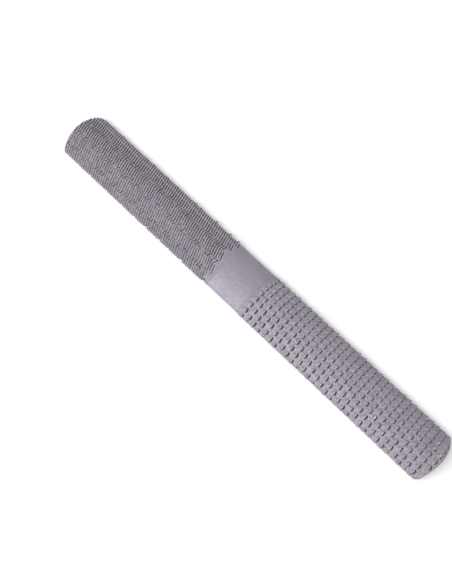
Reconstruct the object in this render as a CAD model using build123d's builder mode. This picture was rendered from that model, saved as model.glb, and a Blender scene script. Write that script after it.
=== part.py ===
from build123d import *
import math
import os

# Four-in-one half-round wood rasp: one straight bar of hardened steel with a
# half-round back and a flat underside.  One end of each side is punched with
# coarse rasp teeth, the other end of each side is chiselled with file teeth,
# and a plain band between them is where the hand holds the tool.
#
# Frame: +X along the bar towards the rasp end, +Y across it, +Z up out of the
# half-round back.  The tips of the teeth on the flat underside lie on Z = 0.
# All sizes are in millimetres.

# ---------------------------------------------------------------- the blank
BAR_LENGTH = 200.0        # over the two crowned ends
BAR_WIDTH = 22.6
EDGE_HEIGHT = 1.4         # plain upright edge below the half-round back
ARC_HALF_ANGLE = 41.4     # degrees, the back's arc each side of its crest
END_CROWN = 2.55          # how far each end bulges, seen from above
CORNER_EASE = 0.9         # width of the eased corner of each end
EASE_SLOPE = 1.35         # its run along X for each unit across
CORNER_RADIUS = 1.2       # plan radius where the crown meets the eased corner

# ----------------------------------------------------- lengthwise layout (X)
FILE_ZONE_END = -16.3     # the file cuts run from the -X end to here
RASP_ZONE_START = 2.8     # the rasp teeth run from here to the +X end

# ---------------------------------------------------------------- file teeth
FILE_PITCH = 1.106
FILE_DEPTH = 0.36
FILE_BACK = 0.80          # length of a tooth's back slope, the rest is its face
FLAT_FILE_RAISE = 0.20    # crest height of the underside's file teeth
FLAT_FILE_LEAN = 25.0     # degrees, slant of the underside's cuts

# ---------------------------------------------------------------- rasp teeth
ROW_FIRST = 5.05          # nose of the first row of teeth
ROW_PITCH = 2.986
ROW_COUNT = 32
TOOTH_SPACING = 2.915     # from tooth to tooth across a row
TOOTH_SHIFT = 0.915       # each row steps this far sideways
TOOTH_PHASE = -0.327
TOOTH_LENGTH = 2.2
TOOTH_HALF_WIDTH = 0.98
TOOTH_TAIL_HALF = 0.45
TOOTH_ROOT = 0.30         # how far a tooth's root reaches into its face
TOOTH_TAIL_DROP = 0.08    # the ramp starts this far below the face
ROUND_TOOTH_HEIGHT = 0.55
FLAT_TOOTH_HEIGHT = 0.45
TIP_CLEAR = 1.2           # plain rim beyond the last teeth

# ------------------------------------------------------- the toothed layers
ROUND_SKIN = 0.80         # depth of the toothed layer on the back
FLAT_SKIN = 0.60          # depth of the toothed layer on the underside

# ------------------------------------------------------------ derived sizes
HALF_L = BAR_LENGTH / 2
HALF_W = BAR_WIDTH / 2
T = math.radians(ARC_HALF_ANGLE)
ARC_R = HALF_W / math.sin(T)
Z_FLAT = FLAT_TOOTH_HEIGHT                      # plane of the flat underside
Z_EDGE = Z_FLAT + EDGE_HEIGHT                   # top of the upright edges
Z_AXIS = Z_EDGE - ARC_R * math.cos(T)           # centre line of the arc
Z_CREST = Z_AXIS + ARC_R                        # crest of the back
CROWN_R = (HALF_W**2 + END_CROWN**2) / (2 * END_CROWN)


def end_x(y):
    """X of the crowned end at the distance y from the centre line."""
    return HALF_L - (CROWN_R - math.sqrt(CROWN_R**2 - y * y))


def arc_point(angle, radius):
    return (radius * math.sin(angle), Z_AXIS + radius * math.cos(angle))


# Plan outline of the two crowned ends with their eased corners.  It is wider
# than the bar, so it trims only the ends of each piece.
Y_EASE = HALF_W - CORNER_EASE
X_EASE = end_x(Y_EASE)
X_OUT = X_EASE - 2 * CORNER_EASE * EASE_SLOPE
Y_OUT = HALF_W + CORNER_EASE

with BuildPart() as outline:
    with BuildSketch(Plane.XY.offset(-1.0)) as outline_sketch:
        with BuildLine():
            ThreePointArc((X_EASE, -Y_EASE), (HALF_L, 0), (X_EASE, Y_EASE))
            Line((X_EASE, Y_EASE), (X_OUT, Y_OUT))
            Line((X_OUT, Y_OUT), (-X_OUT, Y_OUT))
            Line((-X_OUT, Y_OUT), (-X_EASE, Y_EASE))
            ThreePointArc((-X_EASE, Y_EASE), (-HALF_L, 0), (-X_EASE, -Y_EASE))
            Line((-X_EASE, -Y_EASE), (-X_OUT, -Y_OUT))
            Line((-X_OUT, -Y_OUT), (X_OUT, -Y_OUT))
            Line((X_OUT, -Y_OUT), (X_EASE, -Y_EASE))
        make_face()
        fillet(
            outline_sketch.vertices().filter_by_position(
                Axis.Y, -Y_EASE - 0.01, Y_EASE + 0.01),
            CORNER_RADIUS,
        )
    extrude(amount=Z_CREST + 3.0)


# ---------------------------------------------------------------- bar_core
# The half-round blank.  It shows as the plain band in the middle, the two
# upright edges and the ends; under the toothed layers it is thinner.
top_l = arc_point(-T, ARC_R)
top_r = arc_point(T, ARC_R)
in_l = arc_point(-T, ARC_R - ROUND_SKIN)
in_c = arc_point(0.0, ARC_R - ROUND_SKIN)
in_r = arc_point(T, ARC_R - ROUND_SKIN)

with BuildPart() as bar_core:
    # thinner section under the teeth, over the whole length
    with BuildSketch(Plane.YZ.offset(-HALF_L)) as thin_section:
        with BuildLine():
            Line((-HALF_W, Z_FLAT + FLAT_SKIN), (HALF_W, Z_FLAT + FLAT_SKIN))
            Line((HALF_W, Z_FLAT + FLAT_SKIN), top_r)
            Line(top_r, in_r)
            ThreePointArc(in_r, in_c, in_l)
            Line(in_l, top_l)
            Line(top_l, (-HALF_W, Z_FLAT + FLAT_SKIN))
        make_face()
    extrude(amount=BAR_LENGTH)
    # full half-round section in the plain middle band
    with BuildSketch(Plane.YZ.offset(FILE_ZONE_END)) as full_section:
        with BuildLine():
            Line((-HALF_W, Z_FLAT), (HALF_W, Z_FLAT))
            Line((HALF_W, Z_FLAT), top_r)
            ThreePointArc(top_r, (0, Z_CREST), top_l)
            Line(top_l, (-HALF_W, Z_FLAT))
        make_face()
    extrude(amount=RASP_ZONE_START - FILE_ZONE_END)
    add(outline.part, mode=Mode.INTERSECT)
bar_core.part.label = "bar_core"


# ------------------------------------------------------- round_file_face
# Toothed layer on the back's file end.  Its saw-tooth section is revolved
# about the arc's centre line, so each cut crosses the whole back.  The steep
# faces look towards the -X end.
radial_plane = Plane(
    origin=(0, 0, Z_AXIS), x_dir=(1, 0, 0), z_dir=(0, -math.cos(T), -math.sin(T))
)
arc_axis = Axis((0, 0, Z_AXIS), (-1, 0, 0))

file_points = [(FILE_ZONE_END, ARC_R - ROUND_SKIN), (FILE_ZONE_END, ARC_R)]
x = FILE_ZONE_END - 0.25
while x - FILE_PITCH > -HALF_L + 0.4:
    file_points.append((x, ARC_R))
    file_points.append((x - (FILE_PITCH - FILE_BACK), ARC_R - FILE_DEPTH))
    x -= FILE_PITCH
file_points.append((x, ARC_R))
file_points.append((-HALF_L, ARC_R))
file_points.append((-HALF_L, ARC_R - ROUND_SKIN))

with BuildPart() as round_file_face:
    with BuildSketch(radial_plane) as round_file_section:
        Polygon(*file_points, align=None)
    revolve(axis=arc_axis, revolution_arc=2 * ARC_HALF_ANGLE)
    add(outline.part, mode=Mode.INTERSECT)
round_file_face.part.label = "round_file_face"


# -------------------------------------------------------- flat_file_face
# Toothed layer on the underside's file end: slanting saw-tooth ridges.
lean = math.tan(math.radians(FLAT_FILE_LEAN))
reach = HALF_W + 0.5
flat_points = []
x = FILE_ZONE_END - 0.3
crest = Z_FLAT - FLAT_FILE_RAISE
flat_start = x
while x > -HALF_L - 2 * reach * lean - 1.0:
    flat_points.append((x, crest))
    flat_points.append((x - (FILE_PITCH - FILE_BACK), crest + FILE_DEPTH))
    x -= FILE_PITCH
flat_points.append((x, crest))

with BuildPart() as flat_file_face:
    # the slab that the ridges stand on
    with BuildSketch(Plane.XY.offset(Z_FLAT + 0.3)) as flat_file_slab:
        with Locations(((FILE_ZONE_END - HALF_L) / 2, 0)):
            Rectangle(HALF_L + FILE_ZONE_END, BAR_WIDTH)
    extrude(amount=FLAT_SKIN - 0.3)
    # the saw-tooth ridges, swept along their slant
    with BuildSketch(Plane.XZ.offset(reach)) as flat_file_section:
        Polygon(
            (flat_start + 2 * reach * lean, Z_FLAT + 0.3),
            (flat_start + 2 * reach * lean, crest),
            *flat_points,
            (x, Z_FLAT + 0.3),
            align=None,
        )
    extrude(amount=2 * reach / math.cos(math.radians(FLAT_FILE_LEAN)),
            dir=(lean, 1, 0), mode=Mode.ADD)
    # trim them to their zone and to the bar's outline
    with BuildSketch(Plane.XY.offset(-0.5)) as flat_file_zone:
        with Locations(((FILE_ZONE_END - HALF_L) / 2, 0)):
            Rectangle(HALF_L + FILE_ZONE_END, BAR_WIDTH)
    extrude(amount=Z_CREST, mode=Mode.INTERSECT)
    add(outline.part, mode=Mode.INTERSECT)
flat_file_face.part.label = "flat_file_face"


# ------------------------------------------------------------ a rasp tooth
# A ramp that rises towards +X and ends in a rounded, upright nose at X = 0.
def tooth_outline():
    Line((-TOOTH_LENGTH, -TOOTH_TAIL_HALF), (-0.55, -TOOTH_HALF_WIDTH))
    ThreePointArc((-0.55, -TOOTH_HALF_WIDTH), (0, 0), (-0.55, TOOTH_HALF_WIDTH))
    Line((-0.55, TOOTH_HALF_WIDTH), (-TOOTH_LENGTH, TOOTH_TAIL_HALF))
    Line((-TOOTH_LENGTH, TOOTH_TAIL_HALF), (-TOOTH_LENGTH, -TOOTH_TAIL_HALF))


with BuildPart() as round_tooth:
    with BuildSketch(Plane.XZ.offset(-1.5)) as round_tooth_side:
        Polygon((-TOOTH_LENGTH, -TOOTH_ROOT), (0, -TOOTH_ROOT),
                (0, ROUND_TOOTH_HEIGHT), (-TOOTH_LENGTH, -TOOTH_TAIL_DROP), align=None)
    extrude(amount=3.0)
    with BuildSketch(Plane.XY.offset(-TOOTH_ROOT - 0.1)) as round_tooth_plan:
        with BuildLine():
            tooth_outline()
        make_face()
    extrude(amount=ROUND_TOOTH_HEIGHT + 1.0, mode=Mode.INTERSECT)

with BuildPart() as flat_tooth:
    with BuildSketch(Plane.XZ.offset(-1.5)) as flat_tooth_side:
        Polygon((-TOOTH_LENGTH, TOOTH_ROOT), (0, TOOTH_ROOT),
                (0, -FLAT_TOOTH_HEIGHT), (-TOOTH_LENGTH, TOOTH_TAIL_DROP), align=None)
    extrude(amount=3.0)
    with BuildSketch(Plane.XY.offset(-FLAT_TOOTH_HEIGHT - 0.1)) as flat_tooth_plan:
        with BuildLine():
            tooth_outline()
        make_face()
    extrude(amount=FLAT_TOOTH_HEIGHT + 1.0, mode=Mode.INTERSECT)

# Places of the teeth: each row is stepped sideways by TOOTH_SHIFT.
half_arc = ARC_R * T
round_places = []
flat_places = []
for row in range(ROW_COUNT):
    x = ROW_FIRST + row * ROW_PITCH
    for j in range(-8, 20):
        s = TOOTH_PHASE + j * TOOTH_SPACING - row * TOOTH_SHIFT
        if abs(s) <= half_arc - TOOTH_HALF_WIDTH - 0.05:
            a = s / ARC_R
            y, z = arc_point(a, ARC_R)
            if x + TIP_CLEAR <= end_x(abs(y)):
                round_places.append(
                    Plane(origin=(x, y, z), x_dir=(1, 0, 0),
                          z_dir=(0, math.sin(a), math.cos(a))).location
                )
        if abs(s) <= HALF_W - TOOTH_HALF_WIDTH - 0.15:
            if x + TIP_CLEAR <= end_x(abs(s)):
                flat_places.append(Location((x, s, Z_FLAT)))

# ------------------------------------------------------- round_rasp_face
# Toothed layer on the back's rasp end.
with BuildPart() as round_rasp_face:
    with BuildSketch(radial_plane) as round_rasp_section:
        Polygon((RASP_ZONE_START, ARC_R - ROUND_SKIN), (HALF_L, ARC_R - ROUND_SKIN),
                (HALF_L, ARC_R), (RASP_ZONE_START, ARC_R), align=None)
    revolve(axis=arc_axis, revolution_arc=2 * ARC_HALF_ANGLE)
    add(outline.part, mode=Mode.INTERSECT)
    with Locations(*round_places):
        add(round_tooth.part, clean=False)
round_rasp_face.part.label = "round_rasp_face"

# -------------------------------------------------------- flat_rasp_face
# Toothed layer on the underside's rasp end.
with BuildPart() as flat_rasp_face:
    with BuildSketch(Plane.XY.offset(Z_FLAT)) as flat_rasp_slab:
        with Locations(((RASP_ZONE_START + HALF_L) / 2, 0)):
            Rectangle(HALF_L - RASP_ZONE_START, BAR_WIDTH)
    extrude(amount=FLAT_SKIN)
    add(outline.part, mode=Mode.INTERSECT)
    with Locations(*flat_places):
        add(flat_tooth.part, clean=False)
flat_rasp_face.part.label = "flat_rasp_face"


os.makedirs("parts", exist_ok=True)
export_step(bar_core.part, "parts/bar_core.step")
export_step(round_file_face.part, "parts/round_file_face.step")
export_step(flat_file_face.part, "parts/flat_file_face.step")
export_step(round_rasp_face.part, "parts/round_rasp_face.step")
export_step(flat_rasp_face.part, "parts/flat_rasp_face.step")
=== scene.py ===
"""Wood rasp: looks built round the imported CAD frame.  Lengths in the code are in
millimetres until a mesh is written, where they become metres."""
import math

import bpy
import numpy as np
from mathutils import Matrix, Vector


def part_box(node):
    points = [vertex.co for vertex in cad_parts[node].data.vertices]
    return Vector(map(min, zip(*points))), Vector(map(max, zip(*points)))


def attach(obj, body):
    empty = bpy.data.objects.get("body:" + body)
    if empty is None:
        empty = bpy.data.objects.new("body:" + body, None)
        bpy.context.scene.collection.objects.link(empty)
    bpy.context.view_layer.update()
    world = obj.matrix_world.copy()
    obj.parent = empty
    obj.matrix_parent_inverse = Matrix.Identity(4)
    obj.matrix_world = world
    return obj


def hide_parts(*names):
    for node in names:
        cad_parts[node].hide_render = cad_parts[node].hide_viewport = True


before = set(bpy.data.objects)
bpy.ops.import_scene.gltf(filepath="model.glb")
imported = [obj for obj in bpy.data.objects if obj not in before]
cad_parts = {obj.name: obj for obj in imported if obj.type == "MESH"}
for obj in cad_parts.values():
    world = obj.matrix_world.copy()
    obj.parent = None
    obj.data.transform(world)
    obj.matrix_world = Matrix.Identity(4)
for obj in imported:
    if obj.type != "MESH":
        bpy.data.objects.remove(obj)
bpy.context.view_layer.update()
MM = 0.001

# ------------------------------------------------------------------ dimensions
core_lo, core_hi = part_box("bar_core")
rf_lo, rf_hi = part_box("round_file_face")
rr_lo, rr_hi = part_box("round_rasp_face")
fr_lo, fr_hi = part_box("flat_rasp_face")
ff_lo, ff_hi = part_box("flat_file_face")

HALF_L = core_hi.x / MM
HALF_W = core_hi.y / MM
Z_FLAT = core_lo.z / MM
Z_CREST = core_hi.z / MM
EDGE = 1.4
Z_EDGE = Z_FLAT + EDGE
SAG = Z_CREST - Z_EDGE
ARC_R = (HALF_W ** 2 + SAG ** 2) / (2 * SAG)
T = math.asin(HALF_W / ARC_R)
Z_AXIS = Z_CREST - ARC_R
HALF_ARC = ARC_R * T
FILE_END = rf_hi.x / MM           # where the file cuts stop
RASP_START = rr_lo.x / MM         # where the rasp teeth start
CROWN = 2.55
CROWN_R = (HALF_W ** 2 + CROWN ** 2) / (2 * CROWN)
FLAT_RAISE = Z_FLAT - ff_lo.z / MM


def end_x(y):
    """Distance of the crowned end from the middle, with its eased corner."""
    y = np.abs(np.asarray(y, float))
    crown = HALF_L - (CROWN_R - np.sqrt(CROWN_R ** 2 - np.minimum(y, HALF_W + 1) ** 2))
    y0 = HALF_W - 0.9
    x0 = HALF_L - (CROWN_R - math.sqrt(CROWN_R ** 2 - y0 ** 2))
    ease = x0 - (y - y0) * 1.35
    # smooth minimum of the two lines
    k = 0.35
    h = np.clip(0.5 + 0.5 * (crown - ease) / k, 0, 1)
    return crown * (1 - h) + ease * h - k * h * (1 - h)


# ----------------------------------------------------------------- small noise
def _hash(ix, iy, seed):
    n = (ix.astype(np.int64) * 374761393 + iy.astype(np.int64) * 668265263
         + np.int64(seed) * 2147483647) & 0xFFFFFFFF
    n = ((n ^ (n >> 13)) * 1274126177) & 0xFFFFFFFF
    n = (n ^ (n >> 16)) & 0xFFFFFFFF
    return n.astype(np.float64) / 4294967295.0


def noise(x, y, seed):
    """Smooth value noise in 0..1."""
    x = np.asarray(x, float)
    y = np.asarray(y, float)
    ix = np.floor(x)
    iy = np.floor(y)
    fx = x - ix
    fy = y - iy
    fx = fx * fx * (3 - 2 * fx)
    fy = fy * fy * (3 - 2 * fy)
    a = _hash(ix, iy, seed)
    b = _hash(ix + 1, iy, seed)
    c = _hash(ix, iy + 1, seed)
    d = _hash(ix + 1, iy + 1, seed)
    return (a * (1 - fx) + b * fx) * (1 - fy) + (c * (1 - fx) + d * fx) * fy


def fnoise(x, y, seed):
    return (noise(x, y, seed) * 0.6 + noise(x * 2.1, y * 2.1, seed + 7) * 0.3
            + noise(x * 4.3, y * 4.3, seed + 13) * 0.1) * 2 - 1


def pick(i, j, seed):
    """One random number in -1..1 for each pair of whole numbers."""
    return _hash(np.asarray(i, float), np.asarray(j, float), seed) * 2 - 1


def step(a, b, x):
    t = np.clip((x - a) / (b - a), 0, 1)
    return t * t * (3 - 2 * t)


# ------------------------------------------------------------ surface placing
NICKS = ((-88.6, 0.40, 0.5), (-81.2, 0.45, 0.5), (-71.9, 0.30, 0.4), (-63.0, 0.35, 0.45), (-55.4, 0.30, 0.4),
         (-48.95, 0.62, 0.62), (-41.05, 0.55, 0.60), (-35.8, 0.25, 0.4), (-28.7, 0.62, 0.85), (-22.6, 0.22, 0.4),
         (-16.15, 0.55, 0.75))


def nick(x):
    """How far the near edge of the file end is knocked in; less than nothing where
    the cuts have pushed the metal out over it."""
    x = np.asarray(x, float)
    out = np.zeros_like(x)
    for nx, depth, wide in NICKS:
        out = np.maximum(out, depth * np.clip(1.25 - np.abs(x - nx) / wide, 0, 1))
    pushed = 0.30 + 0.10 * fnoise(x * 0.9, 0 * x, 17)
    return out * 1.15 * step(-14.2, -15.0, x) - pushed * step(-15.9, -16.8, x)


def place_round(x, s, h, edge=None):
    """Point on the half-round back, h above the blank along the radius.
    edge -1 or 1 holds the point on the bar's upright side plane."""
    near = nick(x)
    if edge:
        # cuts stop at the side plane, raised metal leans out over it
        y = (HALF_W - (near if edge < 0 else 0) + np.maximum(h, 0) * math.sin(T)) * edge
        z = Z_AXIS + np.sqrt((ARC_R + h) ** 2 - y ** 2)
        return np.stack([x, np.broadcast_to(y, np.shape(x)), z], -1)
    s = s + near * np.clip(1 - (s + HALF_ARC) / 1.6, 0, 1)
    a = s / ARC_R
    return np.stack([x, (ARC_R + h) * np.sin(a), Z_AXIS + (ARC_R + h) * np.cos(a)], -1)


def place_flat(x, s, h, edge=None):
    near = nick(x)
    if edge:
        s = (HALF_W - (near if edge < 0 else 0) + 0.6 * np.maximum(h, 0)) * edge
    else:
        s = s + near * np.clip(1 - (s + HALF_W) / 1.6, 0, 1)
    return np.stack([x, np.broadcast_to(s, np.shape(x)) * 1.0, Z_FLAT - h], -1)


# X, Y, radius and strength of the brownish marks left on the back
STAINS = ((93.0, 2.6, 5.4, 0.95), (64.8, -0.9, 1.8, 0.9), (4.1, 3.2, 1.7, 0.7), (4.0, -0.9, 1.6, 0.7), (7.4, -1.4, 1.3, 0.6),
          (10.6, 7.6, 1.3, 0.6), (84.0, -0.5, 1.4, 0.5), (88.2, 9.3, 2.0, 0.6), (13.5, 0.2, 1.2, 0.4))


def stain(x, y):
    out = np.zeros(len(x))
    for sx, sy, r, k in STAINS:
        d = np.hypot(x - sx, y - sy) / r
        out = np.maximum(out, k * (1 - step(0.25, 1.0, d)))
    return out * np.clip(0.60 + 0.70 * fnoise(x * 1.3, y * 1.3, 131), 0, 1)


def build_skin(name, cols, rows, warp, lo_x, hi_x, height, place, inner, flip):
    """A toothed layer as one closed mesh.
    cols: places across (arc length or Y). rows: row numbers along X before warp.
    warp(r, s): X of row r at s. lo_x(s), hi_x(s): the layer's two ends.
    height(x, s): arrays of height, pit (painted shade, and painted highlight below zero) and cut (1 where the surface
    is cut). inner(s, edge): (y, z) of its hidden side."""
    M = len(cols)
    N = len(rows)
    Rg, Sg = np.meshgrid(rows, cols, indexing="ij")
    X = warp(Rg, Sg)
    lo = lo_x(cols)
    hi = hi_x(cols)
    eps = 0.03
    below = X <= lo[None, :] + eps
    above = X >= hi[None, :] - eps
    inside = ~below & ~above
    idx = np.zeros((N, M), np.int64)
    ids = np.arange(M)
    idx[below] = np.broadcast_to(ids[None, :], (N, M))[below]
    idx[above] = np.broadcast_to((ids + M)[None, :], (N, M))[above]
    n_in = int(inside.sum())
    idx[inside] = 2 * M + np.arange(n_in)
    px = np.concatenate([lo, hi, X[inside]])
    ps = np.concatenate([cols, cols, Sg[inside]])
    h, pit, worked = height(px, ps)
    P = place(px, ps, h)
    col_of = np.concatenate([ids, ids, np.broadcast_to(ids[None, :], (N, M))[inside]])
    for col, sign in ((0, -1), (M - 1, 1)):
        m = col_of == col
        P[m] = place(px[m], ps[m], h[m], edge=sign)
    verts = [P]
    pits = [pit]
    works = [worked]
    n = len(P)
    faces = []
    # the toothed surface
    a = idx[:-1, :-1].ravel()
    b = idx[1:, :-1].ravel()
    c = idx[1:, 1:].ravel()
    d = idx[:-1, 1:].ravel()
    quads = np.stack([a, b, c, d], 1)
    full = (a != b) & (b != c) & (c != d) & (d != a)
    faces += quads[full].tolist()
    for q in quads[~full].tolist():
        u = []
        for k in q:
            if k not in u:
                u.append(k)
        if len(u) >= 3:
            faces.append(u)
    # hidden side: one low and one high point for each inner column
    iy = np.zeros(M)
    iz = np.zeros(M)
    for j in range(M):
        iy[j], iz[j] = inner(cols[j], -1 if j == 0 else (1 if j == M - 1 else 0))
    blo = np.stack([lo, iy, iz], 1)
    bhi = np.stack([hi, iy, iz], 1)
    verts += [blo, bhi]
    pits += [np.zeros(M), np.zeros(M)]
    works += [np.zeros(M), np.zeros(M)]
    LO = n + ids
    HI = n + M + ids
    n += 2 * M
    for j in range(M - 1):
        faces.append([int(ids[j + 1]), int(LO[j + 1]), int(LO[j]), int(ids[j])][::1])
        faces.append([int(M + j), int(HI[j]), int(HI[j + 1]), int(M + j + 1)])
        if 0 < j < M - 2:
            faces.append([int(LO[j]), int(LO[j + 1]), int(HI[j + 1]), int(HI[j])])
    # upright sides, with a foot under every point of the edge column
    for col in (0, M - 1):
        chain = [col] + [int(k) for k in idx[:, col][inside[:, col]]] + [M + col]
        foot = [int(LO[col])]
        fv = []
        for k in chain[1:-1]:
            fv.append([P[k][0], iy[col] + (float(nick(P[k][0])) if col == 0 else 0.0), iz[col]])
            foot.append(n)
            n += 1
        foot.append(int(HI[col]))
        if fv:
            verts.append(np.array(fv))
            pits.append(np.zeros(len(fv)))
            works.append(np.zeros(len(fv)))
        for k in range(len(chain) - 1):
            q = [chain[k], foot[k], foot[k + 1], chain[k + 1]]
            faces.append(q if col == 0 else q[::-1])
        nb = 1 if col == 0 else M - 2
        poly = foot + [int(HI[nb]), int(LO[nb])]
        faces.append(poly[::-1] if col == 0 else poly)
    V = np.concatenate(verts)
    spots = stain(V[:, 0], V[:, 1]) * (0 if flip else 1)
    pit = np.concatenate(pits)
    worked = np.concatenate(works)
    if flip:
        faces = [f[::-1] for f in faces]
    me = bpy.data.meshes.new(name)
    me.from_pydata((V * MM).tolist(), [], faces)
    # the pit attribute carries painted shade in pits and grooves, and painted highlight where below zero
    at = me.attributes.new("pit", "FLOAT", "POINT")
    at.data.foreach_set("value", pit.astype(np.float32))
    at = me.attributes.new("cut", "FLOAT", "POINT")
    at.data.foreach_set("value", worked.astype(np.float32))
    at = me.attributes.new("stain", "FLOAT", "POINT")
    at.data.foreach_set("value", spots.astype(np.float32))
    me.validate(verbose=False)
    me.update()
    ob = bpy.data.objects.new(name, me)
    bpy.context.scene.collection.objects.link(ob)
    return ob


def finish_mesh(ob, angle):
    import bmesh
    bm = bmesh.new()
    bm.from_mesh(ob.data)
    bmesh.ops.recalc_face_normals(bm, faces=bm.faces)
    bad = sum(1 for e in bm.edges if len(e.link_faces) != 2)
    bm.to_mesh(ob.data)
    bm.free()
    ob.data.shade_smooth()
    ob.data.set_sharp_from_angle(angle=math.radians(angle))
    print(f"{ob.name}: {len(ob.data.vertices)} vertices, {len(ob.data.polygons)} faces, {bad} open edges")


# ------------------------------------------------------------------ file teeth
FILE_PITCH = 1.106
# centre, half width, lean dx/ds, where the last cut stops (X at the centre)
BANDS = [
    dict(c=10.60, w=2.45, lean=-0.33, at=9.6, stop=-16.0, seed=12, up=0.0, down=0.0, deep=0.94),
    dict(c=6.25, w=1.88, lean=-0.34, at=6.3, stop=-16.6, seed=12, up=0.0, down=0.55, deep=1.02),
    dict(c=0.10, w=2.00, lean=-0.36, at=0.1, stop=-16.2, seed=13, up=0.55, down=0.70, deep=1.0),
    dict(c=-6.30, w=1.90, lean=-0.36, at=-6.3, stop=-15.4, seed=14, up=0.70, down=0.72, deep=0.84),
    dict(c=-11.6, w=1.75, lean=-0.46, at=-11.0, stop=-17.2, seed=15, up=0.76, down=0.0, deep=0.82),
]
# where two strips of cuts overlap, the crossing marks read as a coarser cut the other way
CROSS = [
    dict(c=3.22, w=1.15, lean=-0.02, pitch=1.106, seed=71, hi=-18.2, fill=1.0, deep=0.36, ph=0.5, tick=0.22, mud=0.165),
    dict(c=-3.20, w=1.22, lean=0.33, pitch=1.363, seed=72, hi=-16.9, fill=1.0, deep=0.33, ph=0.0, tick=0.20, mud=0.180),
    dict(c=-9.05, w=0.98, lean=0.157, pitch=1.370, seed=73, hi=-16.6, fill=1.1, deep=0.30, ph=0.0, tick=0.18, mud=0.165),
]
GAP = FILE_PITCH / 11.0
_ss = np.linspace(-13.5, 13.5, 541)
_cuts = [8.13, 3.22, -3.20, -9.05]
_lean = np.array([BANDS[sum(1 for c in _cuts if v < c)]["lean"] for v in _ss])
_g = np.concatenate([[0], np.cumsum((_lean[1:] + _lean[:-1]) / 2 * np.diff(_ss))])
_g -= np.interp(0, _ss, _g)


def g_round(s):
    return np.interp(s, _ss, _g)


for b in BANDS:
    # every strip uses the same lines, so that each crest follows one grid row;
    # only the last cut differs from strip to strip
    at_c = b["stop"] - b["lean"] * (b["at"] - b["c"])
    b["last"] = round(-(at_c - float(g_round(b["c"]))) / FILE_PITCH)


def cut_profile(f, valley):
    """Depth 0..1 of one cut, f running from its crest to the next one."""
    d = np.minimum(f / valley, (1 - f) / (1 - valley))
    return np.clip(d, 0, 1)


def file_height_round(x, s):
    deepest = np.zeros_like(x)
    burr = np.zeros_like(x)
    worked = np.zeros_like(x)
    line = (g_round(s) - x) / FILE_PITCH
    i = np.floor(line)
    z = 0 * i
    bead = 0.55 * fnoise(x * 1.5, s * 1.9, 19) + 0.75 * fnoise(x * 1.8, s * 3.1, 20)
    for b in BANDS:
        q = line - b["last"]
        j0 = pick(i, z, b["seed"]) * 0.022
        j1 = pick(i + 1, z, b["seed"]) * 0.022
        f = np.clip((line - i - j0) / (1 + j1 - j0), 0, 1)
        d = cut_profile(f, 0.50)
        off = s - b["c"]
        far = np.abs(off) + 0.20 * pick(i, z + (off > 0), b["seed"] + 3) - b["w"]
        core = 1 - step(-0.42, 0.30, far)
        # beyond its core a cut runs on, shallower, under the next strip
        level = np.where(off > 0, b["up"], b["down"])
        tail = (level > 0) * (1 - (1 - level) * step(0.0, 0.85, far)) * (1 - step(1.1, 1.8, far)) * (q > 2.0)
        side = np.maximum(core, tail) * (1 - 0.34 * np.exp(-((s - 8.13) / 0.26) ** 2))
        depth = 0.40 * b["deep"] * (1 + 0.06 * pick(i, z, b["seed"] + 5) + 0.42 * bead)
        cut = np.where(q > 0, d * depth * side, 0)
        deepest = np.maximum(deepest, cut)
        worked = np.maximum(worked, np.maximum(core, step(0, 0.3, tail)) * step(-0.15, 0.05, q))
        near = np.minimum(f, 1 - f) * FILE_PITCH
        ragged = 0.10 + 1.05 * noise(x * 1.3 + 9, s * 3.0, b["seed"] + 21)
        burr = np.maximum(burr, np.where(q > -0.12, np.exp(-(near / 0.16) ** 2) * 0.08 * side * ragged, 0))
    for b in CROSS:
        xi = x - b["lean"] * (s - b["c"])
        q = (float(g_round(b["c"])) - xi) / b["pitch"] + b["ph"]
        i = np.floor(q)
        z = 0 * i
        j0 = pick(i, z, b["seed"]) * 0.10
        j1 = pick(i + 1, z, b["seed"]) * 0.10
        f = np.clip((q - i - j0) / (1 + j1 - j0), 0, 1)
        d = np.minimum(cut_profile(f, 0.5) * b["fill"], 1)
        e = (np.abs(s - b["c"]) + 0.16 * pick(i, z, b["seed"] + 3)) / b["w"]
        side = 1 - step(1.0 - 0.25 / b["w"], 1.0 + 0.16 / b["w"], e)
        depth = b["deep"] * (1 + 0.20 * pick(i, z, b["seed"] + 5) + 0.5 * fnoise(x * 1.9, s * 2.2, b["seed"] + 9))
        cut = np.where(x < b["hi"] + 0.3 * pick(i, z, b["seed"] + 8), d * depth * side, 0)
        wander = (s - b["c"] + 0.22 * fnoise(x * 0.45, 0 * x, b["seed"] + 51)) / b["w"]
        spread = 1 - step(0.70, 1.0 + 0.62 / b["w"], np.abs(wander))
        muddle = b["mud"] * (0.55 + 0.9 * noise(x * 2.0, s * 3.0, b["seed"] + 41)) * spread * (1 - step(
            b["hi"] - 0.5, b["hi"] + 0.2, x))
        deepest = np.maximum(deepest, np.maximum(cut, muddle))
        worked = np.maximum(worked, side * (1 - step(b["hi"], b["hi"] + 0.4, x)))
        near = np.minimum(f, 1 - f) * b["pitch"]
        nick = noise(x * 1.7, s * 2.3, b["seed"] + 31)
        burr = np.maximum(burr, np.where(x < b["hi"], np.exp(-(near / 0.20) ** 2) * b["tick"] * side * step(0.45, 0.8, nick), 0))
    h = -deepest + burr * (1 - np.clip(deepest / 0.25, 0, 1)) + 0.010 * fnoise(x * 2.2, s * 2.2, 31)
    # a few thick burrs stand out along the far edge, with painted shade on them
    for bx, bh in EDGE_BURRS:
        knob = np.exp(-((x - bx + 0.38 * (s - 12.2)) / 0.52) ** 2) * step(11.3, 12.2, s)
        h = h + bh * knob
        deepest = np.maximum(deepest, 0.17 * knob)
    return h, deepest, worked


EDGE_BURRS = ((-90.9, 0.45), (-84.7, 0.45), (-70.6, 0.40), (-66.4, 0.55), (-58.6, 0.45), (-52.4, 0.45),
              (-41.9, 0.60), (-38.9, 0.60), (-30.15, 1.05), (-22.3, 1.0), (-17.65, 1.05))


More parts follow.
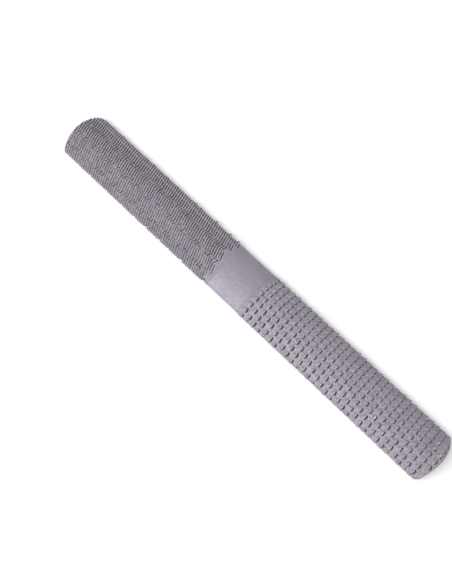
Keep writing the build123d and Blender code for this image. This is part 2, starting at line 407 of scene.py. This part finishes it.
def end_round(h, d, r):
    d = np.clip(d, 0, r)
    return h - (r - np.sqrt(np.maximum(r * r - (r - d) ** 2, 0)))


def h_round_file(x, s):
    h, deep, worked = file_height_round(x, s)
    y = ARC_R * np.sin(s / ARC_R)
    h = end_round(h, x + end_x(y), 0.30)
    join = step(0.0, 0.25, FILE_JOIN - x)
    h = h * join
    # the cut depth also goes out as the pit attribute: painted shade in the grooves
    return h, np.clip(deep / 0.40, 0, 1) ** 1.2, worked


FILE_JOIN = -13.6
cols = np.linspace(-HALF_ARC, HALF_ARC, 131)
reach = 12.0
rows = np.arange(round((-HALF_L - 6) / GAP) * GAP, FILE_JOIN + 8, GAP)
skin_depth = ARC_R - 0.8
SEAM = Z_FLAT + 0.675              # height at which the two toothed layers meet on the bar's sides


def inner_round(s, edge):
    if edge:
        return edge * HALF_W, SEAM + 0.01
    a = s / ARC_R
    return skin_depth * math.sin(a), Z_AXIS + skin_depth * math.cos(a)


def y_of(s):
    return ARC_R * np.sin(s / ARC_R)


round_file = build_skin(
    "round_file_teeth", cols, rows, lambda r, s: r + g_round(s),
    lambda s: -end_x(y_of(s)), lambda s: np.full(len(s), FILE_JOIN),
    h_round_file, place_round, inner_round, False)

# ------------------------------------------------------------------ rasp teeth
ROW_FIRST, ROW_PITCH, ROW_COUNT = 5.05, 2.986, 32
SPACING, SHIFT, PHASE = 2.915, 0.915, -0.327
OFFS = np.array([-2.32, -2.0, -1.68, -1.38, -1.1, -0.85, -0.63, -0.44, -0.28, -0.15, -0.05,
                 0.0, 0.07, 0.16, 0.28, 0.42, 0.56])


def tooth_grid(seed):
    """Each tooth's own small differences."""
    rng = np.random.default_rng(seed)
    n = 60
    return dict(
        dx=rng.normal(0, 0.07, (ROW_COUNT + 4, n)),
        ds=rng.normal(0, 0.06, (ROW_COUNT + 4, n)),
        h=rng.normal(1, 0.10, (ROW_COUNT + 4, n)),
        w=rng.normal(1, 0.05, (ROW_COUNT + 4, n)),
        pit=rng.normal(1, 0.12, (ROW_COUNT + 4, n)),
        skew=rng.normal(0.06, 0.05, (ROW_COUNT + 4, n)),
    )


# the rows were punched by eye, so they drift a little from an even grid
_drift_s = np.array([-13.6, -12.0, -9.2, -6.7, -4.2, -1.5, 1.5, 4.2, 6.7, 9.2, 12.0, 13.6])
_drift_v = np.array([-0.62, -0.58, -0.40, -0.16, 0.11, 0.25, 0.28, 0.18, 0.18, 0.12, 0.0, 0.0])
_even = _drift_s - _drift_v                    # where an even grid would have put them


def even_s(s):
    """Place on the even grid of a point across the half-round back."""
    return np.interp(s, _drift_s, _even)


def row_x(row, s):
    """X of a row's nose line; the last two rows bow outward with the end."""
    x0 = ROW_FIRST + row * ROW_PITCH
    bow = np.clip(1 - (s / 11.5) ** 2, 0, 1)
    drift = np.interp(x0, [5, 15, 37, 62, 87], [0.38, 0.30, 0.07, -0.06, -0.10])
    side = 0.14 * step(-7.0, -12.0, s)
    late = np.interp(x0, [91.0, 94.7, 97.6, 101.0], [0.0, 0.35, 0.80, 0.80])
    return x0 + drift + side + late * bow


def nearest(row, s):
    """Index of the tooth of this row nearest to s, and the distance from it."""
    j = np.round((s - PHASE + row * SHIFT) / SPACING)
    return j, s - (PHASE + j * SPACING - row * SHIFT)


def nose_line(u):
    """How far the rounded nose falls back at the distance u from its middle."""
    return -0.10 * np.minimum(np.abs(u), 1.4) ** 2 - 0.05 * np.clip(u, -1.4, 1.4)


FAINT = [1.06, 0.96, 0.84, 0.68, 0.57, 0.53]


def make_rasp(G, half, tooth_h, pit_depth, spill, y_map, even):
    def tooth_ok(row, j):
        s0 = PHASE + j * SPACING - row * SHIFT
        x0 = ROW_FIRST + row * ROW_PITCH
        return (row >= 0) & (row < ROW_COUNT) & (np.abs(s0) < half + 0.6) & (
            x0 + 1.25 < end_x(np.minimum(np.abs(y_map(s0)), HALF_W)) + 0.05)

    def par(key, row, j):
        r = np.clip(row, 0, ROW_COUNT + 3).astype(int)
        c = np.clip(j + 10, 0, 59).astype(int)
        return G[key][r, c]

    def shift_x(row, s):
        """Offset of the nose line of a row at s, smooth between teeth."""
        j, u = nearest(row, s)
        own = par("dx", row, j) + par("skew", row, j) * u * 0
        side = np.where(u > 0, j + 1, j - 1)
        other = par("dx", row, side)
        t = step(1.15, 1.75, np.abs(u)) * 0.5
        t = np.where(np.abs(u) > SPACING / 2, 0.5, t)
        k = np.clip((np.abs(u) - 1.15) / (2 * (SPACING / 2 - 1.15)), 0, 0.5)
        return own * (1 - k) + other * k + nose_line(u)

    def warp(r, s):
        """Row lines crowd round the noses and follow their curve."""
        k = np.floor((r + 0.5) / len(OFFS))
        m = (r - k * len(OFFS)).astype(int) % len(OFFS)
        off = OFFS[m]
        w = np.where(off < 0, step(-2.0, -0.35, off), 1 - step(0.30, 0.62, off))
        x = row_x(k, s) + off + w * shift_x(k, even(s))
        return x

    def height(x, s):
        h = np.zeros_like(x)
        pit = np.zeros_like(x)
        shade = np.zeros_like(x)
        painted_highlight = np.zeros_like(x)
        rise = np.zeros_like(x)
        groove = np.zeros_like(x)
        base = np.floor((x - ROW_FIRST) / ROW_PITCH)
        t_s = even(s)
        # the marks are cut shallower towards the far side, and their painted shade is lighter there
        faint = np.interp(s, [-9.0, -4.2, -1.5, 1.5, 6.7, 10.0], FAINT)
        for dk in (-1, 0, 1, 2):
            row = base + dk
            for dj in (-1, 0, 1):
                j, u = nearest(row, t_s)
                j = j + dj
                ok = tooth_ok(row, j)
                s0 = PHASE + 0.06 + j * SPACING - row * SHIFT + par("ds", row, j)
                u = t_s - s0
                # nose line of this tooth, as the mesh rows follow it
                a = x - row_x(row, s) - par("dx", row, j) - nose_line(
                    t_s - (PHASE + j * SPACING - row * SHIFT))
                w = 1.50 * par("w", row, j)
                hh = tooth_h * par("h", row, j)
                e = np.abs(u) / (w * np.where(u > 0, 0.74, 1.06))
                # long ramp that steepens towards the nose
                t = np.clip((a + 2.7) / 2.7, 0, 1)
                ramp = 0.50 * t + 0.50 * t ** 2.6
                lat = 0.90 * (1 - step(0.10, 1.0, e)) + 0.10 * (1 - step(0.68, 0.86, e))
                top = np.where(a <= 0.001, hh * ramp * lat, 0.0)
                rise = np.maximum(rise, np.where(ok, top, 0))
                # punched pit on the far side of the nose: a crescent, widest in its middle
                pd = pit_depth * par("pit", row, j)
                k = np.clip(1 - ((u - 0.06) / np.where(u > 0.06, 0.92, 1.26)) ** 2, 0, 1)
                run = 0.20 + 0.80 * k
                p = np.clip(1 - (a - 0.03) / run, 0, 1)
                pw = step(0.0, 0.35, k)
                hollow = np.where(a > 0.001, pd * (0.5 + 0.5 * faint) * p ** 0.9 * pw, 0)
                pit = np.maximum(pit, np.where(ok, hollow, 0))
                # painted shade in the pit crescent, darkest in its middle
                shade = np.maximum(shade, np.where(ok & (a > 0.001), faint * pw * p ** 0.85 * (
                    0.86 + 0.14 * np.clip(u, -1, 1)), 0))
                # every ramp has its own slight tone
                own = (0.115 + 0.045 * pick(row, j, 99)) * (1 - step(0.80, 0.98, e)) * (a <= 0.001) * (a > -2.7)
                shade = np.maximum(shade, np.where(ok, own, 0))
                # painted shade in the crease along one side of the ramp
                crease_shade = np.exp(-((u - 0.45) / 0.15) ** 2) * step(-2.7, -2.3, a) * (1 - step(-1.7, -1.2, a))
                crease_shade_strength = 0.19 + 0.08 * pick(row, j, 95)
                shade = np.maximum(shade, np.where(ok, crease_shade_strength * crease_shade, 0))
                # the tip is hollowed a little from behind, and the hollow also gets painted shade
                dent = np.where(ok & (a <= 0.001), faint * np.exp(
                    -((a + 0.95) / 0.38) ** 2 - ((u - 0.08) / 0.60) ** 2), 0)
                groove = np.maximum(groove, dent)
                shade = np.maximum(shade, (0.33 + 0.09 * pick(row, j, 94)) * dent)
                # painted highlight on its shoulder, the side of the pit facing the key light
                painted_sheen = np.exp(-((u - 1.00) / 0.30) ** 2) * step(-2.5, -2.1, a) * (1 - step(-1.3, -0.9, a))
                painted_highlight = np.maximum(painted_highlight, np.where(
                    ok, np.interp(s, [-10, 0, 6, 10], [0.44, 0.44, 0.30, 0.22]) * painted_sheen, 0))
                # a few tips are worn and get a painted glint, more of them towards the end
                luck = pick(row, j, 97) * 0.5 + 0.5
                nth = ROW_FIRST + row * ROW_PITCH
                worn_glinting = luck < 0.02 + 0.25 * step(80.0, 92.0, nth) * step(-1, 4, s0) + 0.50 * step(
                    93.0, 97.0, nth) * step(-5, 0, s0)
                glint = 1.5 * np.exp(-((u - 0.15) / 0.44) ** 2 - ((a + 0.22) / 0.34) ** 2)
                painted_highlight = np.maximum(painted_highlight, np.where(ok & worn_glinting & (a <= 0.001), glint, 0))
            # the outermost punch marks spill over the edge
            a = x - row_x(row, s) - par("dx", row, 40 + 0 * row)
            t = np.clip((a + 2.8) / 2.8, 0, 1)
            live = (row >= 0) & (row < ROW_COUNT) & (a <= 0.001)
            for side in (-1, 1):
                big = spill * (1 + 0.35 * pick(row, 0 * row + side, 93))
                out = step(half - 1.3, half - 0.15, s * side)
                rise = np.maximum(rise, np.where(live, big * t ** 1.25 * out, 0))
        # second value: painted shade less painted highlight, which becomes the pit attribute
        return h + rise - pit - 0.04 * groove, shade - painted_highlight, rise

    return warp, height


def skin_rows(lo_k, hi_k):
    return np.arange(lo_k * len(OFFS), hi_k * len(OFFS)).astype(float)


RASP_JOIN = 2.2
G1 = tooth_grid(5)
warp_r, height_r = make_rasp(G1, HALF_ARC, 0.46, 0.50, 0.58, lambda s: ARC_R * np.sin(s / ARC_R), even_s)


def h_round_rasp(x, s):
    h, pit, rise = height_r(x, s)
    h = h + 0.022 * fnoise(x * 0.8, s * 0.8, 41) + 0.012 * fnoise(x * 2.4, s * 3.0, 43)
    d = end_x(ARC_R * np.sin(s / ARC_R)) - x
    h = end_round(h, d, 0.55)
    h = h * step(0.0, 0.3, x - RASP_JOIN)
    return h, pit, step(0.2, 2.2, x - RASP_JOIN)


cols_r = np.linspace(-HALF_ARC, HALF_ARC, 177)
round_rasp = build_skin(
    "round_rasp_teeth", cols_r, skin_rows(-2, ROW_COUNT + 2), warp_r,
    lambda s: np.full(len(s), RASP_JOIN), lambda s: end_x(y_of(s)),
    h_round_rasp, place_round, inner_round, False)

G2 = tooth_grid(6)
warp_f, height_f = make_rasp(G2, HALF_W, 0.44, 0.40, 0.25, lambda s: s, lambda s: s)


def h_flat_rasp(x, s):
    h, pit, rise = height_f(x, s)
    h = h + 0.02 * fnoise(x * 0.8, s * 0.8, 51) * (rise < 0.3)
    h = np.minimum(h, Z_FLAT - 0.002)
    h = end_round(h, end_x(s) - x, 0.35)
    h = h * step(0.0, 0.3, x - RASP_JOIN)
    return h, pit, step(0.2, 2.2, x - RASP_JOIN)


def inner_flat(s, edge):
    return s, (SEAM - 0.01 if edge else Z_FLAT + 0.6)


cols_f = np.linspace(-HALF_W, HALF_W, 161)
flat_rasp = build_skin(
    "flat_rasp_teeth", cols_f, skin_rows(-2, ROW_COUNT + 2), warp_f,
    lambda s: np.full(len(s), RASP_JOIN), lambda s: end_x(s),
    h_flat_rasp, place_flat, inner_flat, True)

# --------------------------------------------------- file teeth, flat underside
FLEAN = math.tan(math.radians(25))


def h_flat_file(x, s):
    xi = x - FLEAN * s
    q = (FILE_END - 0.6 - FLEAN * HALF_W - xi) / FILE_PITCH + 10
    q = -xi / FILE_PITCH
    i = np.floor(q)
    j0 = pick(i, 0 * i, 61) * 0.05
    j1 = pick(i + 1, 0 * i, 61) * 0.05
    f = np.clip((q - i - j0) / (1 + j1 - j0), 0, 1)
    d = cut_profile(f, 0.42) * 0.36 * (1 + 0.10 * pick(i, 0 * i, 62) + 0.1 * fnoise(x, s * 1.4, 63))
    xc = x + 0.84 * s
    q2 = -xc / 1.45
    i2 = np.floor(q2)
    f2 = q2 - i2
    d2 = np.clip(1 - np.abs(f2 - 0.5) / 0.27, 0, 1) * 0.24 * (1 + 0.12 * pick(i2, 0 * i2, 64))
    zone = step(0.0, 0.35, FILE_END - 0.15 - x)
    deep = np.maximum(d, d2)
    h = (FLAT_RAISE - deep - 0.012 * np.abs(fnoise(x * 2, s * 2, 65))) * zone
    h = end_round(h, x + end_x(s), 0.30)
    h = h * step(0.0, 0.25, FILE_JOIN - x)
    # the cut depth also goes out as the pit attribute: painted shade in the grooves
    return h, np.clip(deep / 0.4, 0, 1) * zone, zone


rows_ff = np.arange(round((-HALF_L - 7) / GAP) * GAP, FILE_JOIN + 7, GAP)
cols_ff = np.linspace(-HALF_W, HALF_W, 125)
flat_file = build_skin(
    "flat_file_teeth", cols_ff, rows_ff, lambda r, s: r + FLEAN * s,
    lambda s: -end_x(s), lambda s: np.full(len(s), FILE_JOIN),
    h_flat_file, place_flat, inner_flat, True)


# ------------------------------------------------------------------- bar body
def section(full):
    """Closed outline of the bar as (y, z): underside from -Y to +Y, then back over the top."""
    n = 60
    pts = []
    ease = 0.22
    if full:
        for y in np.linspace(-HALF_W + ease, HALF_W - ease, n):
            pts.append((y, Z_FLAT))
        pts.append((HALF_W - ease * 0.29, Z_FLAT + ease * 0.29))
        pts.append((HALF_W, Z_FLAT + ease))
        pts.append((HALF_W, Z_EDGE - 0.16))
        pts.append((HALF_W - 0.05, Z_EDGE - 0.02))
        for a in np.linspace(T * 0.988, -T * 0.988, n):
            pts.append((ARC_R * math.sin(a), Z_AXIS + ARC_R * math.cos(a)))
        pts.append((-HALF_W + 0.05, Z_EDGE - 0.02))
        pts.append((-HALF_W, Z_EDGE - 0.16))
        pts.append((-HALF_W, Z_FLAT + ease))
        pts.append((-HALF_W + ease * 0.29, Z_FLAT + ease * 0.29))
        return pts
    low = Z_FLAT + 0.6
    tt = math.asin((HALF_W - 0.66) / skin_depth)
    ys = [skin_depth * math.sin(a) for a in np.linspace(-tt, tt, n)]
    for y in ys:
        pts.append((y, low))
    pts.append((HALF_W - 0.62, low))
    pts.append((HALF_W - 0.60, low + 0.01))
    pts.append((HALF_W - 0.60, Z_EDGE - 0.66))
    pts.append((HALF_W - 0.62, Z_EDGE - 0.65))
    for a in np.linspace(tt, -tt, n):
        pts.append((skin_depth * math.sin(a), Z_AXIS + skin_depth * math.cos(a)))
    pts.append((-HALF_W + 0.62, Z_EDGE - 0.65))
    pts.append((-HALF_W + 0.60, Z_EDGE - 0.66))
    pts.append((-HALF_W + 0.60, low + 0.01))
    pts.append((-HALF_W + 0.62, low))
    return pts


thin = section(False)
full = section(True)
K = len(thin)
stations = [("thin", None, -1), ("thin", FILE_JOIN, 0)]
stations += [("full", x, 0) for x in np.linspace(FILE_JOIN, RASP_JOIN, 33)]
stations += [("thin", RASP_JOIN, 0), ("thin", None, 1)]
V = []
for kind, x, end in stations:
    for (y, z) in (thin if kind == "thin" else full):
        V.append(((end * float(end_x(y)) if end else x) * MM, y * MM, z * MM))
F = []
for i in range(len(stations) - 1):
    for k in range(K):
        a = i * K + k
        b = i * K + (k + 1) % K
        F.append([a, b, b + K, a + K])


def cap(base, flip):
    """Upright strips from the underside to the back, from -Y to +Y."""
    n = 60
    bottom = [K - 1] + list(range(0, n)) + [n]                       # along the underside
    topside = [n + 4 + n] + [n + 4 + n - 1 - i for i in range(n)] + [n + 3]
    left = [K - 2, n + 4 + n + 1]
    right = [n + 1, n + 2]
    out = []
    for i in range(len(bottom) - 1):
        out.append([bottom[i], bottom[i + 1], topside[i + 1], topside[i]])
    out.append([left[0], bottom[0], topside[0], left[1]])
    out.append([bottom[-1], right[0], right[1], topside[-1]])
    for f in out:
        f = [base + q for q in f]
        F.append(f[::-1] if flip else f)


cap(0, False)
cap((len(stations) - 1) * K, True)
me = bpy.data.meshes.new("bar_body")
me.from_pydata(V, [], F)
me.update()
for key in ("pit", "cut", "stain"):
    at = me.attributes.new(key, "FLOAT", "POINT")
    at.data.foreach_set("value", np.zeros(len(V), np.float32))
body = bpy.data.objects.new("bar_body", me)
bpy.context.scene.collection.objects.link(body)

finish_mesh(round_file, 32)
finish_mesh(flat_file, 32)
finish_mesh(round_rasp, 38)
finish_mesh(flat_rasp, 38)
finish_mesh(body, 30)


# ------------------------------------------------------------------ materials
def steel(name, base, worked, pit_shade_colour, rough, grit, side_shade, scuffs):
    mat = bpy.data.materials.new(name)
    mat.use_nodes = True
    nt = mat.node_tree
    nt.nodes.clear()
    N = nt.nodes.new
    Lk = nt.links.new
    out = N("ShaderNodeOutputMaterial")
    bsdf = N("ShaderNodeBsdfPrincipled")
    Lk(bsdf.outputs[0], out.inputs[0])
    co = N("ShaderNodeTexCoord")

    def mapping(scale):
        m = N("ShaderNodeMapping")
        m.inputs["Scale"].default_value = scale
        Lk(co.outputs["Object"], m.inputs["Vector"])
        return m

    def tex(scale, vec, detail=3.0, rough_=0.55):
        t = N("ShaderNodeTexNoise")
        t.inputs["Scale"].default_value = scale
        t.inputs["Detail"].default_value = detail
        t.inputs["Roughness"].default_value = rough_
        Lk(vec.outputs[0], t.inputs["Vector"])
        return t

    def ramp(src, lo, hi, a, b):
        r = N("ShaderNodeMapRange")
        r.inputs["From Min"].default_value = lo
        r.inputs["From Max"].default_value = hi
        r.inputs["To Min"].default_value = a
        r.inputs["To Max"].default_value = b
        Lk(src, r.inputs["Value"])
        return r

    def mixc(fac, a, b, mode="MIX"):
        m = N("ShaderNodeMix")
        m.data_type = "RGBA"
        m.blend_type = mode
        for sock, val in ((m.inputs[0], fac), (m.inputs[6], a), (m.inputs[7], b)):
            if hasattr(val, "is_linked") or hasattr(val, "node"):
                Lk(val, sock)
            else:
                sock.default_value = val if not isinstance(val, tuple) else (*val, 1.0)
        return m.outputs[2]

    def times(a, b):
        m = N("ShaderNodeMath")
        m.operation = "MULTIPLY"
        Lk(a, m.inputs[0])
        Lk(b, m.inputs[1])
        return m.outputs[0]

    fine = tex(1.0, mapping((900.0, 900.0, 900.0)), 4.0, 0.6)
    cloud = tex(1.0, mapping((110.0, 110.0, 110.0)), 3.0)
    streak = tex(1.0, mapping((260.0, 9000.0, 9000.0)), 3.0, 0.6)
    cutm = N("ShaderNodeAttribute")
    cutm.attribute_name = "cut"
    metal = ramp(cutm.outputs["Fac"], 0.0, 1.0, 0.45, 0.22)
    Lk(metal.outputs[0], bsdf.inputs["Metallic"])
    crest = mixc(cutm.outputs["Fac"], base, worked)
    # slow changes of tone, and of hue between violet and olive
    tone = ramp(cloud.outputs["Fac"], 0.3, 0.7, 0.0, 0.5)
    c = mixc(tone.outputs[0], crest, (0.86, 0.86, 0.86), "MULTIPLY")
    hue = tex(1.0, mapping((85.0, 140.0, 140.0)), 2.0)
    warm = ramp(hue.outputs["Fac"], 0.55, 0.72, 0.0, 1.0)
    cool = ramp(hue.outputs["Fac"], 0.45, 0.28, 0.0, 1.0)
    c = mixc(warm.outputs[0], c, (1.0, 0.987, 0.92), "MULTIPLY")
    c = mixc(cool.outputs[0], c, (0.968, 0.94, 1.0), "MULTIPLY")
    grain = tex(1.0, mapping((1900.0, 2500.0, 2500.0)), 1.0, 0.5)
    grain_t = ramp(grain.outputs["Fac"], 0.41, 0.59, 0.0, grit)
    uncut = ramp(cutm.outputs["Fac"], 0.0, 1.0, 1.0, 0.0)
    cutin = ramp(cutm.outputs["Fac"], 0.0, 1.0, 0.12, 1.0)
    c = mixc(times(grain_t.outputs[0], cutin.outputs[0]), c, (0.45, 0.45, 0.45), "MULTIPLY")
    # scuffs, a little longer along the bar than across it
    scuff = tex(1.0, mapping((900.0, 3000.0, 3000.0)), 1.0, 0.5)
    scuff_t = ramp(scuff.outputs["Fac"], 0.40, 0.60, 0.0, scuffs)
    c = mixc(times(scuff_t.outputs[0], cutin.outputs[0]), c, (0.5, 0.5, 0.5), "MULTIPLY")
    along = N("ShaderNodeSeparateXYZ")
    Lk(co.outputs["Object"], along.inputs[0])
    slow = ramp(along.outputs[0], -0.02, 0.1, 0.0, 0.33)
    c = mixc(slow.outputs[0], c, (0.66, 0.65, 0.67), "MULTIPLY")
    # painted shade across the bar: darker towards -Y, the side the key light comes from
    if side_shade:
        near = ramp(along.outputs[1], side_shade[0], side_shade[1], 0.0, side_shade[2])
        c = mixc(near.outputs[0], c, (0.5, 0.5, 0.5), "MULTIPLY")
    fine_t = ramp(fine.outputs["Fac"], 0.25, 0.75, 0.0, 0.20)
    c = mixc(fine_t.outputs[0], c, (0.6, 0.6, 0.6), "MULTIPLY")
    wide = tex(1.0, mapping((55.0, 1300.0, 1300.0)), 2.0, 0.6)
    wt = ramp(wide.outputs["Fac"], 0.35, 0.7, 0.0, 0.22)
    c = mixc(times(wt.outputs[0], uncut.outputs[0]), c, (0.66, 0.66, 0.67), "MULTIPLY")
    st = ramp(streak.outputs["Fac"], 0.35, 0.7, 0.0, 0.30)
    c = mixc(times(st.outputs[0], uncut.outputs[0]), c, (0.7, 0.7, 0.7), "MULTIPLY")
    brown = N("ShaderNodeAttribute")
    brown.attribute_name = "stain"
    bt = ramp(brown.outputs["Fac"], 0.0, 1.0, 0.0, 1.0)
    c = mixc(bt.outputs[0], c, (0.90, 0.88, 0.74), "MULTIPLY")
    # painted shade in pits and grooves: the pit attribute mixes the colour towards the hollow colour
    pit = N("ShaderNodeAttribute")
    pit.attribute_name = "pit"
    pit_shade = ramp(pit.outputs["Fac"], 0.10, 0.75, 0.0, 0.97)
    c = mixc(pit_shade.outputs[0], c, pit_shade_colour)
    # painted highlight where the pit attribute is below zero: lit shoulders beside the pits and glints on a few worn
    # tips
    painted_sheen = ramp(pit.outputs["Fac"], -0.15, -1.35, 0.0, 0.92)
    c = mixc(painted_sheen.outputs[0], c, (0.72, 0.71, 0.71))
    Lk(c, bsdf.inputs["Base Color"])
    rr = ramp(fine.outputs["Fac"], 0.3, 0.7, rough - 0.06, rough + 0.08)
    Lk(rr.outputs[0], bsdf.inputs["Roughness"])
    bump = N("ShaderNodeBump")
    bump.inputs["Strength"].default_value = 0.35
    bump.inputs["Distance"].default_value = 0.00003
    mm = N("ShaderNodeMath")
    mm.operation = "ADD"
    Lk(times(streak.outputs["Fac"], uncut.outputs[0]), mm.inputs[0])
    Lk(fine.outputs["Fac"], mm.inputs[1])
    Lk(mm.outputs[0], bump.inputs["Height"])
    Lk(bump.outputs[0], bsdf.inputs["Normal"])
    return mat


# colour of the crests, painted shade colour of the hollows, roughness, ground or cut surface
ground = steel("ground_steel", (0.382, 0.353, 0.412), (0.382, 0.353, 0.412), (0.03, 0.026, 0.033), 0.68, 0.50, None, 0.10)
filed = steel("cut_steel_file", (0.374, 0.346, 0.404), (0.516, 0.478, 0.539), (0.060, 0.052, 0.066), 0.67, 0.26, (-0.001, -0.0085, 0.46), 0.06)
cut = steel("cut_steel", (0.374, 0.346, 0.404), (0.472, 0.436, 0.512), (0.010, 0.003, 0.020), 0.72, 0.70, (0.009, -0.004, 0.12), 0.36)
for ob, mt in ((round_file, filed), (flat_file, filed), (round_rasp, cut), (flat_rasp, cut)):
    ob.data.materials.append(mt)
body.data.materials.append(ground)

for ob, node, slot in (
    (body, "bar_core", "ground_steel"),
    (round_file, "round_file_face", "cut_steel"),
    (flat_file, "flat_file_face", "cut_steel"),
    (round_rasp, "round_rasp_face", "cut_steel"),
    (flat_rasp, "flat_rasp_face", "cut_steel"),
):
    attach(ob, "root")
    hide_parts(node)

# ------------------------------------------------------------- floor and light
fm = bpy.data.meshes.new("floor")
fm.from_pydata([(-3, -3, 0), (3, -3, 0), (3, 3, 0), (-3, 3, 0)], [], [(0, 1, 2, 3)])
floor = bpy.data.objects.new("floor", fm)
bpy.context.scene.collection.objects.link(floor)
fmat = bpy.data.materials.new("floor")
fmat.use_nodes = True
fb = fmat.node_tree.nodes["Principled BSDF"]
fb.inputs["Base Color"].default_value = (0.95, 0.95, 0.95, 1)
fb.inputs["Roughness"].default_value = 0.9
fb.inputs["Specular IOR Level"].default_value = 0.1
fm.materials.append(fmat)

world = bpy.data.worlds.new("world")
bpy.context.scene.world = world
world.use_nodes = True
world.node_tree.nodes["Background"].inputs[0].default_value = (1, 1, 1, 1)
world.node_tree.nodes["Background"].inputs[1].default_value = 0.74


def area(name, loc, target, size, power):
    ld = bpy.data.lights.new(name, "AREA")
    ld.shape = "RECTANGLE"
    ld.size, ld.size_y = size
    ld.energy = power
    lo = bpy.data.objects.new(name, ld)
    bpy.context.scene.collection.objects.link(lo)
    lo.location = loc
    d = Vector(target) - Vector(loc)
    lo.rotation_euler = d.to_track_quat("-Z", "Y").to_euler()
    return lo


area("key", (-0.40, -1.05, 0.85), (0, 0, 0), (1.4, 0.8), 18.6)

# -------------------------------------------------------------------- camera
R = np.array([[0.7178492086109256, 0.6808538644333253, 0.14536343757243386],
              [-0.6738881942448702, 0.6270955920457142, 0.390673546703924],
              [0.17483482305895423, -0.3784034007815497, 0.9089794557210311]])
loc = np.array([60.31852056642742, -152.1461497260451, 346.2696843234328 + Z_FLAT]) * MM
cd = bpy.data.cameras.new("camera")
cam = bpy.data.objects.new("camera", cd)
bpy.context.scene.collection.objects.link(cam)
m = Matrix.Identity(4)
for r_ in range(3):
    for c_ in range(3):
        m[r_][c_] = R[c_][r_]
    m[r_][3] = loc[r_]
cam.matrix_world = m
cd.sensor_fit = "VERTICAL"
cd.sensor_height = 24.0
cd.lens = 947.144 / 584 * 24.0
cd.clip_start = 0.01
bpy.context.scene.camera = cam
bpy.context.scene.view_settings.view_transform = "Standard"
